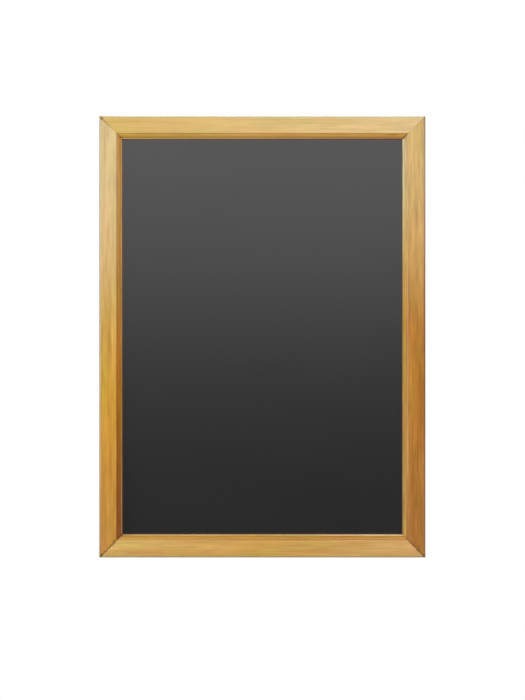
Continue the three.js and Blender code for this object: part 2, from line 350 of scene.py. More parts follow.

# Each member is its own piece of wood; its colours run from left to right, or from the bottom up. The pith is
# where its tree's heart lies, across and in front, and the pitch is one ring's width, both in metres.
# The arris, brow, bead and lip tints are painted light: painted highlights and painted shade on each member's
# rounded edges and bead
members = {
    "bottom": {"turn": 0, "node": "bottom_rail", "ends": ("bottom_left", "bottom_right"),
               "pith": (0.100, 0.060), "pitch": 0.0019, "contrast": 0.36, "figure": 0.5, "seed": 3.1,
               "coat": 0.3,
               "wood": ((0, (0.675, 0.44, 0.14)), (0.5, (0.625, 0.38, 0.090)), (1, (0.715, 0.41, 0.165))),
               "arris": ((0, (0.56, 0.43, 0.20)), (1, (0.55, 0.38, 0.14))),
               "brow": ((0.90, 0.88, 0.82), (0.90, 0.86, 0.78)),
               "bead": ((0.81, 0.63, 0.31), (0.74, 0.63, 0.21)),
               "lip": ((0.78, 0.78, 0.90), (1.05, 1.5, 2.8))},
    "right": {"turn": -0.5, "node": "right_stile", "ends": ("bottom_right", "top_right"),
              "pith": (0.030, 0.085), "pitch": 0.0017, "contrast": 0.38, "figure": 1.0, "seed": 11.7,
              "coat": 0.15,
              "wood": ((0.2, (0.45, 0.19, 0.042)), (0.58, (0.465, 0.20, 0.020)), (0.66, (0.435, 0.17, 0.012)),
                       (0.82, (0.505, 0.27, 0.038)), (1, (0.555, 0.36, 0.085))),
              "arris": ((0.2, (0.40, 0.21, 0.12)), (0.5, (0.20, 0.09, 0.035)), (1, (0.36, 0.24, 0.14))),
              "brow": ((0.66, 0.48, 0.20), (0.71, 0.60, 0.35)),
              "bead": ((1.44, 2.0, 1.9), (1.22, 1.38, 2.9)),
              "lip": ((0.80, 1.6, 2.9), (1.0, 1.35, 3.4))},
    "top": {"turn": 1, "node": "top_rail", "ends": ("top_right", "top_left"),
            "pith": (0.120, 0.045), "pitch": 0.0021, "contrast": 0.30, "figure": 0.4, "seed": 23.9,
            "coat": 0.25,
            "wood": ((0, (0.525, 0.325, 0.036)), (0.5, (0.60, 0.40, 0.10)), (1, (0.60, 0.405, 0.155))),
            "arris": ((0, (0.57, 0.42, 0.24)), (1, (0.55, 0.50, 0.35))),
            "brow": ((1.0, 1.0, 1.0), (0.86, 0.80, 0.72)),
            "bead": ((1.35, 1.3, 1.7), (1.22, 0.98, 0.46)),
            "lip": ((0.85, 0.85, 1.3), (0.37, 0.17, 0.03))},
    "left": {"turn": 0.5, "node": "left_stile", "ends": ("top_left", "bottom_left"),
             "pith": (0.045, 0.070), "pitch": 0.0018, "contrast": 0.40, "figure": 0.75, "seed": 37.3,
             "coat": 0.4,
             "wood": ((0, (0.55, 0.235, 0.066)), (0.5, (0.62, 0.34, 0.040)), (1, (0.52, 0.375, 0.12))),
             "arris": ((0, (0.32, 0.20, 0.09)), (1, (0.51, 0.42, 0.28))),
             "brow": ((0.88, 0.82, 0.75), (0.74, 0.64, 0.52)),
             "bead": ((0.51, 0.345, 0.40), (1.34, 0.96, 0.54)),
             "lip": ((0.72, 1.0, 3.0), (0.74, 0.52, 0.18))},
}


# Where a point lies, and how far in it is from the nearest side and from the nearest end
def placeOnBoard(make):
    x, y, z = make.add("ShaderNodeSeparateXYZ", {0: make.place}).outputs
    fromSide = make.math("SUBTRACT", halfWidth, make.math("ABSOLUTE", x))
    fromEnd = make.math("SUBTRACT", halfHeight, make.math("ABSOLUTE", make.math("SUBTRACT", z, centreZ)))
    return x, y, z, fromSide, fromEnd


# A share that rises from 0 to 1 over a fade, or from one given value to another
def fade(make, value, name, start=0.0, to=(0, 1)):
    low, high = fades[name]
    return make.spread(value, start + low * mm, start + high * mm, to)


# Growth rings: distance from a wavering pith, pale earlywood that darkens to a thin latewood line
def growthRings(make, look, grain, acrossPith):
    bent = grain
    for bend in (pine["waver"], pine["ripple"]):
        shift = make.vector("SUBTRACT", make.noise(grain, bend["scale"], output="Color"), (0.5, 0.5, 0.5))
        bent = make.vector("ADD", bent, make.vector("MULTIPLY", shift, bend["reach"]))
    fromPith = make.vector("MULTIPLY", make.vector("ADD", bent, (0, look["pith"][1], acrossPith)), (0, 1, 1))
    radius = make.add("ShaderNodeVectorMath", {0: fromPith}, operation="LENGTH").outputs["Value"]
    uneven = make.add("ShaderNodeTexNoise", {"W": radius, "Scale": 120, "Detail": 1},
                      noise_dimensions="1D").outputs["Fac"]
    phase = make.math("ADD", make.math("DIVIDE", radius, look["pitch"]), make.math("MULTIPLY", uneven, 1.6))
    band = make.ramp(make.math("FRACT", phase), *pine["ring"])
    patches = make.spread(make.noise(grain, pine["patches"]), 0.32, 0.68, (0.25, 1.0))
    rings = make.math("MULTIPLY", make.math("MULTIPLY", band, patches), look["contrast"])
    return bent, band, rings


# Fibres, resin ducts and the slow drift of tone and hue along a board
def woodColour(make, look, grain, bent, along, rings, fibres, ducts, drift):
    early = make.ramp(along, *look["wood"])
    late = make.tinted(early, pine["late"])
    colour = make.mix(rings, early, late)
    colour = make.tinted(colour, make.swing(fibres, 0.88, 1.10, 0.25))
    colour = make.mix(make.math("MULTIPLY", ducts, 0.25), colour, late)
    streaks = make.noise(bent, pine["streaks"]["scale"], 2)
    flames = make.noise(bent, pine["flames"]["scale"], 2, 0.4)
    figure = make.tinted(make.swing(streaks, *pine["streaks"]["tints"]),
                         make.swing(flames, *pine["flames"]["tints"]))
    colour = make.mix(look["figure"], colour, make.tinted(colour, figure))
    colour = make.tinted(colour, make.swing(drift, *pine["drift"]["tints"]))
    blush = make.noise(grain, pine["blush"]["scale"], 2)
    return make.tinted(colour, make.swing(blush, *pine["blush"]["tints"]))


# Painted light on the moulding: the brow, bead and lip are tinted lighter or darker as painted highlight and
# painted shade, and the arris takes a pale painted reflection that turns to painted shade where it faces away
# from the lamps
def zoneTintsWithPaintedLight(make, look, colour, along, inward, y):
    onBead = fade(make, inward, "bead")
    pastBrow = fade(make, inward, "brow")
    onLip = fade(make, inward, "lip")
    zones = {"brow": make.math("SUBTRACT", onBead, pastBrow), "bead": make.math("SUBTRACT", onBead, onLip),
             "lip": onLip}
    # the brow, bead and lip tints are painted shade and painted highlight
    for zone, share in zones.items():
        first, last = (make.mix(share, (1.0, 1.0, 1.0), tint) for tint in look[zone])
        colour = make.tinted(colour, make.mix(along, first, last))
    # the arris colour is a painted reflection, darkened into painted shade on the side away from the lamps
    onArris = make.math("MULTIPLY", fade(make, y, "arrisDepth", faceY, (0.85, 0.0)),
                        fade(make, inward, "arris", to=(1.0, 0.0)))
    colour = make.mix(onArris, colour, make.ramp(along, *look["arris"]))
    onSide = make.math("MULTIPLY", fade(make, y, "sideDepth", faceY),
                       fade(make, inward, "side", to=(1.0, 0.0)))
    return make.mix(onSide, colour, make.tinted(colour, pine["side"]))


# Dirt along the mitres and in the small chips of the face
def dirtShare(make, ends, along, inward, mitre, y):
    share = make.math("DIVIDE", inward, moulding["width"] * mm)
    first, last = (make.ramp(share, *zip(pine["stainAt"], corners[corner]["stain"])) for corner in ends)
    strength = make.mix(along, first, last)
    specks = make.spread(make.noise(make.place, pine["specks"], 3, 0.6), 0.48, 0.60)
    ragged = make.spread(specks, 0.0, 1.0, [edge * mm for edge in fades["mitreDirt"]])
    atMitre = make.spread(make.math("SUBTRACT", 1.0, make.math("DIVIDE", mitre, ragged)), 0.0, 0.6)
    nearMitre = make.math("MULTIPLY", fade(make, mitre, "mitreSpecks", to=(0.5, 0.0)), specks)
    dirt = make.math("MULTIPLY", make.math("MAXIMUM", atMitre, nearMitre), strength)
    onFace = make.math("MULTIPLY", fade(make, inward, "faceStart"),
                       fade(make, inward, "faceEnd", to=(1.0, 0.0)))
    inChip = make.math("MULTIPLY", onFace, fade(make, y, "chipDepth", faceY, (0.0, 0.9)))
    return make.math("MAXIMUM", dirt, inChip)


# The grain runs along x in its own space, so a stile's is turned upright
def pineLacquer(side):
    look = members[side]
    make = Finish(f"pine_lacquer_{side}")
    upright = side in ("left", "right")
    grain = make.mapped(make.place, turn=(0, quarterTurn if upright else 0, 0), shift=(look["seed"], 0, 0))
    x, y, z, fromSide, fromEnd = placeOnBoard(make)
    inward = make.math("MINIMUM", fromSide, fromEnd)
    mitre = make.math("ABSOLUTE", make.math("SUBTRACT", fromSide, fromEnd))
    # a stile's colours are placed over one board height below the hooks, and the last goes on above them
    along = make.spread(z, -2 * halfHeight, 0) if upright else make.spread(x, -halfWidth, halfWidth)

    acrossPith = look["pith"][0] - (0 if upright else centreZ)
    bent, band, rings = growthRings(make, look, grain, acrossPith)
    fibres = make.noise(grain, pine["fibres"], 3, 0.6)
    ducts = make.ramp(make.noise(grain, pine["ducts"], 1), (0.0, 0.0), (0.68, 0.0), (0.76, 1.0))
    drift = make.noise(grain, pine["drift"]["scale"], 2)
    colour = woodColour(make, look, grain, bent, along, rings, fibres, ducts, drift)
    colour = zoneTintsWithPaintedLight(make, look, colour, along, inward, y)
    ends = look["ends"] if side in ("bottom", "right") else look["ends"][::-1]
    colour = make.mix(dirtShare(make, ends, along, inward, mitre, y), colour, pine["dirt"])

    # the back and the rebate were never lacquered
    inRebate = make.math("MULTIPLY", fade(make, inward, "rebate"), fade(make, y, "rebateDepth", backY))
    rawShare = make.math("MAXIMUM", inRebate, fade(make, y, "back", backY))
    rawColour = make.mix(make.math("MULTIPLY", rings, 0.7), pine["raw"], pine["rawLate"])
    rawColour = make.tinted(rawColour, make.swing(fibres, 0.85, 1.12, 0.25))
    colour = make.mix(rawShare, colour, rawColour)

    roughness = make.spread(drift, 0.3, 0.7, (pine["roughness"] - 0.03, pine["roughness"] + 0.03))
    roughness = make.math("ADD", roughness, make.math("MULTIPLY", ducts, 0.12))
    roughness = make.math("ADD", roughness,
                          make.math("MULTIPLY", rawShare, pine["rawRoughness"] - pine["roughness"]))
    height = make.math("ADD", make.math("MULTIPLY", fibres, 0.5), make.math("MULTIPLY", band, 0.35))
    height = make.math("SUBTRACT", height, make.math("MULTIPLY", ducts, 0.4))
    make.relief(height, 0.05 * mm, 0.35)
    make.shader.inputs["IOR"].default_value = pine["ior"]
    return make.surface(base_color=colour, roughness=roughness, coat_weight=look["coat"],
                        coat_roughness=pine["coatRoughness"])


for side, look in members.items():
    look["material"] = pineLacquer(side)
print("pine materials made")


# Black chalk lacquer in front with a painted brown reflection of the wooden lip along its rim, and
# screen-backed brown hardboard behind
chalk = {
    "black": (0.0051, 0.0051, 0.0052),
    "roughness": 0.357,
    "rimWoodReflection": (0.070, 0.022, 0.004),
    "edgeWidth": 2.8 * mm,
    "lacquer": (0.35 * mm, 0.45 * mm),
    "spray": (2600, 2600, 2600),
    "rolled": (260, 260, 260),
    "wiped": (3, 3, 9),
    "brown": (0.105, 0.052, 0.026),
    "fibres": (700, 700, 700),
    "screenPitch": 1.7 * mm,
}


def shaded(colour, level):
    return tuple(level * value for value in colour)


def chalkLacquer():
    make = Finish("chalk_lacquer")
    x, y, z, fromSide, fromEnd = placeOnBoard(make)
    inward = make.math("MINIMUM", fromSide, fromEnd)
    spray = make.noise(make.place, chalk["spray"], 3, 0.65)
    rolled = make.noise(make.place, chalk["rolled"], 2)
    wiped = make.noise(make.place, chalk["wiped"], 3, 0.6)
    front = make.mix(wiped, chalk["black"], shaded(chalk["black"], 1.12))
    sight = moulding["width"] * mm
    # a brown band along the sight edge is a painted reflection of the wooden lip
    rim = make.spread(inward, sight, sight + chalk["edgeWidth"], (0.95, 0.0))
    front = make.mix(rim, front, chalk["rimWoodReflection"])

    perMetre = halfTurn / chalk["screenPitch"]
    weave = [make.math("ABSOLUTE", make.math("SINE", make.math("MULTIPLY", axis, perMetre)))
             for axis in (x, z)]
    screen = make.math("MULTIPLY", *weave)
    fibres = make.noise(make.place, chalk["fibres"], 4, 0.7)
    brown = make.mix(make.spread(fibres, 0.3, 0.7), shaded(chalk["brown"], 0.75),
                     shaded(chalk["brown"], 1.35))
    brown = make.mix(make.math("MULTIPLY", make.math("SUBTRACT", 1.0, screen), 0.5), brown,
                     shaded(chalk["brown"], 0.5))

    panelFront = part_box("chalk_panel")[0].y
    behind = make.spread(y, *(panelFront + depth for depth in chalk["lacquer"]))
    colour = make.mix(behind, front, brown)
    rough = make.spread(wiped, 0.3, 0.7, (chalk["roughness"] - 0.015, chalk["roughness"] + 0.015))
    rough = make.math("ADD", rough, make.math("MULTIPLY", behind, 0.3))
    fine = make.math("ADD", make.math("MULTIPLY", spray, 0.5), make.math("MULTIPLY", rolled, 0.5))
    height = make.math("ADD", make.math("MULTIPLY", fine, 0.25),
                       make.math("MULTIPLY", make.math("MULTIPLY", screen, behind), 2.0))
    make.relief(height, 0.08 * mm, 0.4)
    return make.surface(base_color=colour, roughness=rough)


metals = {
    "zinc_plate": {"bright": (0.66, 0.68, 0.71), "dull": (0.56, 0.57, 0.55), "roughness": 0.33,
                   "grain": (900, 900, 900)},
    "bright_nail_steel": {"bright": (0.52, 0.53, 0.54), "dull": (0.40, 0.39, 0.37), "roughness": 0.42,
                          "grain": (900, 900, 900)},
    "point_steel": {"bright": (0.60, 0.61, 0.62), "dull": (0.47, 0.47, 0.46), "roughness": 0.38,
                    "grain": (1400, 200, 1400)},
}
metalClouds = (140, 140, 140)


def plainMetal(name):
    metal = metals[name]
    make = Finish(name)
    cloud = make.noise(make.place, metalClouds, 3, 0.6)
    fine = make.noise(make.place, metal["grain"], 3, 0.7)
    colour = make.mix(make.spread(cloud, 0.35, 0.65), metal["bright"], metal["dull"])
    colour = make.tinted(colour, make.swing(fine, 0.9, 1.05))
    rough = make.spread(make.math("ADD", cloud, fine), 0.7, 1.3,
                        (metal["roughness"] - 0.06, metal["roughness"] + 0.08))
    make.relief(fine, 0.02 * mm, 0.3)
    return make.surface(base_color=colour, roughness=rough, metallic=1.0)


rubber = {
    "black": (0.020, 0.020, 0.021),
    "dusty": (0.042, 0.040, 0.038),
    "roughness": (0.62, 0.80),
    "dust": (420, 420, 420),
    "pores": (1800, 1800, 1800),
}


def bumperRubber():
    make = Finish("bumper_rubber")
    dust = make.noise(make.place, rubber["dust"], 4, 0.7)
    colour = make.mix(make.spread(dust, 0.45, 0.75), rubber["black"], rubber["dusty"])
    rough = make.spread(dust, 0.3, 0.7, rubber["roughness"])
    make.relief(make.noise(make.place, rubber["pores"], 3), 0.03 * mm, 0.4)
    return make.surface(base_color=colour, roughness=rough)


chalkMaterial = chalkLacquer()
zincMaterial = plainMetal("zinc_plate")
nailMaterial = plainMetal("bright_nail_steel")
pointMaterial = plainMetal("point_steel")
rubberMaterial = bumperRubber()
print("other materials made")


# Fittings behind the board, in mm; each also gives the pocket it is driven into, a little larger all round
# and open above the wood. A rounding that is almost half a width keeps the corners of an outline apart.
clearance = 0.15
pocketMouth = 1.0
almost = 0.01
vNail = {"leg": 7.0, "thickness": 0.5, "height": 10.0, "fromEdge": 4.5, "pitch": 9.0, "edge": 0.12}
pocketShapes = []


def vNailShape(grow=0.0):
    near = -vNail["thickness"] / 2 - grow
    far = -near
    end = vNail["leg"] + grow
    outline = [(near, near), (end, near), (end, far), (far, far), (far, end), (near, end)]
    shape = bmesh.new()
    sunk = -vNail["height"] - grow
    faces = outlineFace(shape, [(x, z, 0) for x, z in outline])
    if grow:
        bmesh.ops.translate(shape, verts=shape.verts, vec=(0, pocketMouth, 0))
        pulled(shape, faces, (0, sunk - pocketMouth, 0))
    else:
        tip = pulled(shape, faces, (0, sunk, 0))
        softened(shape, tip[0].edges[:], vNail["edge"], 1)
    return shape


def cornerPlace(corner):
    spot = corners[corner]
    tip = moved(spot["x"] * halfWidth, backY, centreZ + spot["z"] * halfHeight)
    return tip @ turned(spot["turn"] * halfTurn)


for corner in corners:
    for index, place in enumerate(("outer", "inner")):
        apex = (vNail["fromEdge"] + index * vNail["pitch"]) * mm
        spot = cornerPlace(corner) @ moved(apex, 0, apex)
        node = f"corner_nail_{corner}_{place}"
        piece = asObject(f"{corner}_v_nail_{place}", placed(vNailShape(), spot))
        finished(piece, node, "board", nailMaterial)
        pocketShapes.append(placed(vNailShape(clearance), spot))
print("V-nails made:", 2 * len(corners))


# Flat points: a narrow driven tip and a rounded tab with a punched slot
point = {"width": 8.0, "thickness": 0.7, "inWood": 7.0, "overhang": 9.0, "tip": 2.4,
         "tipRounding": 0.3, "shoulderRounding": 0.8, "slotWidth": 1.6, "slotLength": 4.0, "slotAt": 4.6,
         "edge": 0.12}
pointCount = {"bottom": 2, "right": 3, "top": 2, "left": 3}


def pointShape():
    half, tip, sunk = point["width"] / 2, point["tip"] / 2, -point["inWood"]
    outline = [(-tip, sunk, point["tipRounding"]), (tip, sunk, point["tipRounding"]),
               (half, sunk / 2, point["shoulderRounding"]), (half, point["overhang"], half - almost),
               (-half, point["overhang"], half - almost), (-half, sunk / 2, point["shoulderRounding"])]
    shape = bmesh.new()
    pulled(shape, outlineFace(shape, outline), (0, -point["thickness"], 0))
    softened(shape, sharpEdges(shape), point["edge"], 2)
    return shape


def pointSlotShape():
    half = point["slotWidth"] / 2
    low, high = point["slotAt"] - point["slotLength"] / 2, point["slotAt"] + point["slotLength"] / 2
    outline = [(x, z, half - almost) for x, z in ((-half, low), (half, low), (half, high), (-half, high))]
    shape = bmesh.new()
    pulled(shape, outlineFace(shape, outline, 6), (0, -3 * point["thickness"], 0))
    bmesh.ops.translate(shape, verts=shape.verts, vec=(0, point["thickness"], 0))
    return shape


def pointPocketShape():
    shape = bmesh.new()
    bmesh.ops.create_cube(shape, size=1)
    depth = point["inWood"] + clearance + pocketMouth
    size = (point["width"] + 2 * clearance, point["thickness"] + 2 * clearance, depth)
    bmesh.ops.scale(shape, verts=shape.verts, vec=size)
    bmesh.ops.translate(shape, verts=shape.verts, vec=(0, -point["thickness"] / 2, pocketMouth - depth / 2))
    return shape


for side, count in pointCount.items():
    for index in range(count):
        node = f"panel_point_{side}_{index + 1}"
        low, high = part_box(node)
        middle = (low + high) / 2
        upright = side in ("left", "right")
        sign = -1 if side in ("left", "bottom") else 1
        x = sign * (halfWidth - moulding["rebate"] * mm) if upright else middle.x
        z = middle.z if upright else centreZ + sign * (halfHeight - moulding["rebate"] * mm)
        spot = moved(x, high.y, z) @ turned(members[side]["turn"] * halfTurn)
        piece = asObject(f"{side}_panel_point_{index + 1}", placed(pointShape(), spot))
        slotCutter = asObject("point slot", placed(pointSlotShape(), spot))
        combined(piece, slotCutter, "DIFFERENCE")
        finished(piece, node, "board", pointMaterial)
        pocketShapes.append(placed(pointPocketShape(), spot))
print("panel points made:", sum(pointCount.values()))


# Pan-head screws with a cross recess and a cut thread; the head's underside is at y = 0. A tooth's corners
# are in thread pitches, and the blunt tip and its taper are shares of the radius.
screw = {"shank": 3.5, "core": 2.3, "length": 12.0, "neck": 0.9, "neckTaper": 0.3, "tip": 3.0, "blunt": 0.25,
         "bluntLength": 0.4, "tipTaper": 0.85, "head": 7.0, "headEdge": 0.6, "headRounding": 0.15,
         "headHeight": 2.2, "domeSteps": 8, "steps": 32, "threadPitch": 1.3, "threadTurns": 7,
         "threadStart": 1.6, "threadRoot": 0.25, "threadSteps": 24, "toothAt": (0.0, 0.26, 0.34, 0.62),
         "recess": 3.8, "recessWidth": 0.95, "recessDepth": 1.2, "recessFloor": (0.45, 1, 0.7)}
screwDrops = (17.0, 29.0)  # below the rings' hinge


def screwShape():
    core, shank, head, length = screw["core"] / 2, screw["shank"] / 2, screw["head"] / 2, screw["length"]
    neck, rounding, steps = screw["neck"], screw["headRounding"], screw["domeSteps"]
    profile = [(0, -length), (screw["blunt"] * core, screw["bluntLength"] - length),
               (core, screw["tip"] - length), (core, -neck - screw["neckTaper"]), (shank, -neck), (shank, 0),
               (head - rounding, 0), (head, rounding)]
    rise = screw["headHeight"] - screw["headEdge"]
    for index in range(steps + 1):
        turn = quarterTurn * index / steps
        radius = head * math.cos(turn) if index < steps else 0
        profile.append((radius, screw["headEdge"] + rise * math.sin(turn)))
    return lathed(profile, screw["steps"])


# One tooth is carried round as a helix, and its last turn runs out at the point
def threadShape():
    core, crest = screw["core"] / 2, screw["shank"] / 2
    start, pitch = -screw["threadStart"], screw["threadPitch"]
    shape = bmesh.new()
    root = core - screw["threadRoot"]
    tooth = zip((root, crest, crest, root), screw["toothAt"])
    face = shape.faces.new([shape.verts.new((radius, start - share * pitch, 0)) for radius, share in tooth])
    bmesh.ops.spin(shape, geom=[face], cent=(0, 0, 0), axis=(0, 1, 0),
                   dvec=(0, -pitch / screw["threadSteps"], 0), angle=2 * halfTurn * screw["threadTurns"],
                   steps=screw["threadSteps"] * screw["threadTurns"])
    tipStart = screw["tip"] - screw["length"]
    for vert in shape.verts:
        run = (vert.co.y - tipStart) / -screw["tip"]
        if run > 0:
            taper = max(screw["blunt"], 1 - screw["tipTaper"] * run)
            vert.co.x *= taper
            vert.co.z *= taper
    bmesh.ops.recalc_face_normals(shape, faces=shape.faces)
    return shape


def recessArm(turn):
    shape = bmesh.new()
    bmesh.ops.create_cube(shape, size=1)
    bmesh.ops.scale(shape, verts=shape.verts, vec=(screw["recess"], 2 * screw["recessDepth"],
                                                   screw["recessWidth"]))
    floor = [vert for vert in shape.verts if vert.co.y < 0]
    bmesh.ops.scale(shape, verts=floor, vec=screw["recessFloor"])
    bmesh.ops.transform(shape, matrix=moved(0, screw["headHeight"], 0) @ turned(turn), verts=shape.verts)
    return shape


def pilotShape():
    shape = bmesh.new()
    radius, depth = screw["shank"] / 2 + clearance, screw["length"] + clearance
    bmesh.ops.create_cone(shape, cap_ends=True, segments=24, radius1=radius, radius2=radius, depth=depth)
    bmesh.ops.transform(shape, matrix=moved(0, -depth / 2, 0) @ turned(quarterTurn, "X"), verts=shape.verts)
    return shape


# Hanger: a strap folded round the bar of a D-ring, modelled about the ring's hinge axis
hanger = {"width": 10.0, "thickness": 0.8, "eye": 2.0, "outerPly": -0.65, "joggle": 4.0, "length": 34.0,
          "hole": 4.0, "drill": 12.0, "edge": 0.14, "foldSteps": 18, "joggleSteps": 6, "endSteps": 14,
          "leastAngle": 50}
ring = {"wire": 2.0, "radius": 8.0, "corner": 2.0, "rise": 3.0, "jointGap": 0.3, "sides": 20,
        "cornerSteps": 8, "bowSteps": 36}


def strapShape():
    half, gauge = hanger["width"] / 2, hanger["thickness"]
    line = hanger["eye"] - gauge / 2
    shape = bmesh.new()
    rim = [(-half, -line - gauge / 2), (half, -line - gauge / 2), (half, -line + gauge / 2),
           (-half, -line + gauge / 2)]
    face = shape.faces.new([shape.verts.new((x, y, -hanger["length"])) for x, y in rim])
    front = pulled(shape, [face], (0, 0, hanger["length"]))
    front = spun(shape, front, (0, 0, 0), (1, 0, 0), -halfTurn, hanger["foldSteps"])
    shift = line - hanger["outerPly"]
    bend = 2 * math.atan(shift / hanger["joggle"])
    sweep = hanger["joggle"] / (2 * math.sin(bend))
    front = spun(shape, front, (0, line - sweep, 0), (1, 0, 0), -bend, hanger["joggleSteps"])
    turnBack = (0, hanger["outerPly"] + sweep, -hanger["joggle"])
    front = spun(shape, front, turnBack, (1, 0, 0), bend, hanger["joggleSteps"])
    pulled(shape, front, (0, 0, hanger["joggle"] - hanger["length"]))
    bmesh.ops.recalc_face_normals(shape, faces=shape.faces)
    ends = [edge for edge in shape.edges if all(vert.co.z < almost - hanger["length"] for vert in edge.verts)
            and abs(edge.verts[0].co.y - edge.verts[1].co.y) > gauge / 2]
    softened(shape, ends, half - almost, hanger["endSteps"])
    return shape


def ringShape():
    bar, corner, steps = ring["radius"] - ring["corner"], ring["corner"], ring["cornerSteps"]
    shape = bmesh.new()
    bmesh.ops.create_circle(shape, cap_ends=True, segments=ring["sides"], radius=ring["wire"] / 2)
    bmesh.ops.transform(shape, matrix=moved(ring["jointGap"] / 2, 0, 0) @ turned(quarterTurn),
                        verts=shape.verts)
    front = pulled(shape, list(shape.faces), (bar - ring["jointGap"] / 2, 0, 0))
    front = spun(shape, front, (bar, 0, corner), (0, 1, 0), -quarterTurn, steps)
    front = pulled(shape, front, (0, 0, ring["rise"] - corner))
    front = spun(shape, front, (0, 0, ring["rise"]), (0, 1, 0), -halfTurn, ring["bowSteps"])
    front = pulled(shape, front, (0, 0, corner - ring["rise"]))
    front = spun(shape, front, (-bar, 0, corner), (0, 1, 0), -quarterTurn, steps)
    pulled(shape, front, (bar - ring["jointGap"] / 2, 0, 0))
    return shape


def holeShape(drop):
    shape = bmesh.new()
    radius = hanger["hole"] / 2
    bmesh.ops.create_cone(shape, cap_ends=True, segments=32, radius1=radius, radius2=radius,
                          depth=hanger["drill"])
    bmesh.ops.transform(shape, matrix=moved(0, 0, -drop) @ turned(quarterTurn, "X"), verts=shape.verts)
    return shape


# Rubber bumper: a moulded stud, its base flat on the wood and its face towards the wall
bumper = {"base": 12.0, "face": 10.0, "height": 5.0, "foot": 0.8, "footRounding": 0.15, "dish": 0.25,
          "dishRadius": 3.0, "dishRim": 0.3, "dishSlope": 0.5, "wallSteps": 10, "steps": 40}


def bumperShape():
    foot, flat, height, steps = bumper["base"] / 2, bumper["face"] / 2, bumper["height"], bumper["wallSteps"]
    profile = [(0, 0), (foot - bumper["footRounding"], 0), (foot, bumper["footRounding"]),
               (foot, bumper["foot"])]
    rise = height - bumper["foot"]
    for index in range(1, steps + 1):
        turn = quarterTurn * index / steps
        profile.append((flat + (foot - flat) * math.cos(turn), bumper["foot"] + rise * math.sin(turn)))
    dish, sunk = bumper["dishRadius"], height - bumper["dish"]
    profile += [(dish + bumper["dishRim"], height), (dish, height - bumper["dish"] / 2),
                (dish - bumper["dishSlope"], sunk), (0, sunk)]
    return lathed(profile, bumper["steps"])


for side in ("left", "right"):
    barLow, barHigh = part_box(f"hanger_strap_{side}")
    hinge = moved((barLow.x + barHigh.x) / 2, barLow.y + hanger["eye"] * mm, barHigh.z - hanger["eye"] * mm)
    strap = asObject(f"{side}_strap", placed(strapShape(), hinge))
    for drop in screwDrops:
        combined(strap, asObject("screw hole", placed(holeShape(drop), hinge)), "DIFFERENCE")
    edges = strap.modifiers.new("eased edges", "BEVEL")
    edges.width = hanger["edge"] * mm
    edges.segments = 2
    edges.limit_method = "ANGLE"
    edges.angle_limit = math.radians(hanger["leastAngle"])
    finished(strap, f"hanger_strap_{side}", "board", zincMaterial)
    loop = asObject(f"{side}_d_ring", placed(ringShape(), hinge))
    finished(loop, f"hanger_ring_{side}", f"ring_{side}", zincMaterial, smoothing=50)
    for place, drop in zip(("upper", "lower"), screwDrops):
        node = f"hanger_screw_{side}_{place}"
        low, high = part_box(node)
        spot = moved(hinge.translation.x, high.y - screw["headHeight"] * mm, (low.z + high.z) / 2)
        piece = asObject(f"{side}_screw_{place}", placed(screwShape(), spot))
        combined(piece, asObject("thread", placed(threadShape(), spot)), "UNION")
        for turn in (0, quarterTurn):
            combined(piece, asObject("recess", placed(recessArm(turn), spot)), "DIFFERENCE")
        finished(piece, node, "board", zincMaterial)
        pocketShapes.append(placed(pilotShape(), spot))
    for end in ("top", "bottom"):
        node = f"wall_bumper_{end}_{side}"
        low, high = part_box(node)
        spot = moved((low.x + high.x) / 2, low.y, (low.z + high.z) / 2)
        piece = asObject(f"{side}_bumper_{end}", placed(bumperShape(), spot))
        finished(piece, node, "board", rubberMaterial, smoothing=50)
print("hangers, screws and bumpers made")


# Small knocks and open spots at the mitres, and a groove along the top bead's right end:
# (x, z) on the face in mm, length, width, depth, tilt in degrees
knocks = [
    (-220.8, 75.8, 7.0, 1.8, 0.8, 45),
    (-221.4, -525.2, 6.0, 1.8, 1.5, -45),
    (-218.0, -520.6, 3.2, 1.6, 0.5, 10),
    (-212.9, -515.4, 3.6, 1.6, 0.5, -30),
    (-215.2, -511.6, 2.8, 1.3, 0.35, 60),
    (-208.8, -512.0, 3.4, 1.5, 0.45, -50),
    (-204.8, -506.4, 3.8, 1.7, 0.5, -60),
    (216.3, -515.0, 9.5, 1.2, 0.5, 88),
    (222.4, -526.0, 4.4, 1.5, 1.4, 45),
    (184.0, 54.3, 21.0, 1.9, 4.6, 0),
]


# A lumpy ball that dips a quarter of its height into the wood leaves a dent with sloping walls
dent = {"lumps": 1.4, "unevenness": 0.4, "spread": 0.58}


def knockShape(x, z, length, width, depth, tilt):
    shape = bmesh.new()
    bmesh.ops.create_icosphere(shape, subdivisions=3, radius=1)
    for vert in shape.verts:
        vert.co *= 1 + dent["unevenness"] * noise.noise(dent["lumps"] * vert.co + Vector((x, 0, z)))
    size = (dent["spread"] * length, 2 * depth, dent["spread"] * width)
    bmesh.ops.scale(shape, verts=shape.verts, vec=size)
    return placed(shape, moved(x * mm, faceY - depth * mm, z * mm) @ turned(-math.radians(tilt)))


# The moulding's section as (inward, height from the back, rounding), from the outer edge of the back
def mouldingSection():
    width, depth, rebate, sill = (moulding[key] for key in ("width", "depth", "rebate", "rebateDepth"))
    return [(0, 0, moulding["backRounding"]), (rebate, 0, moulding["rebateRounding"]), (rebate, sill, 0),
            (width, sill, moulding["sightRounding"]), (width, moulding["lipHeight"], moulding["lipRounding"]),
            (moulding["lip"], moulding["lipHeight"], 0),
            (moulding["beadMiddle"], moulding["beadHeight"], moulding["beadRounding"]),
            (moulding["quirk"], moulding["quirkHeight"], 0),
            (moulding["quirk"], depth, moulding["quirkRounding"]), (0, depth, moulding["arrisRounding"])]


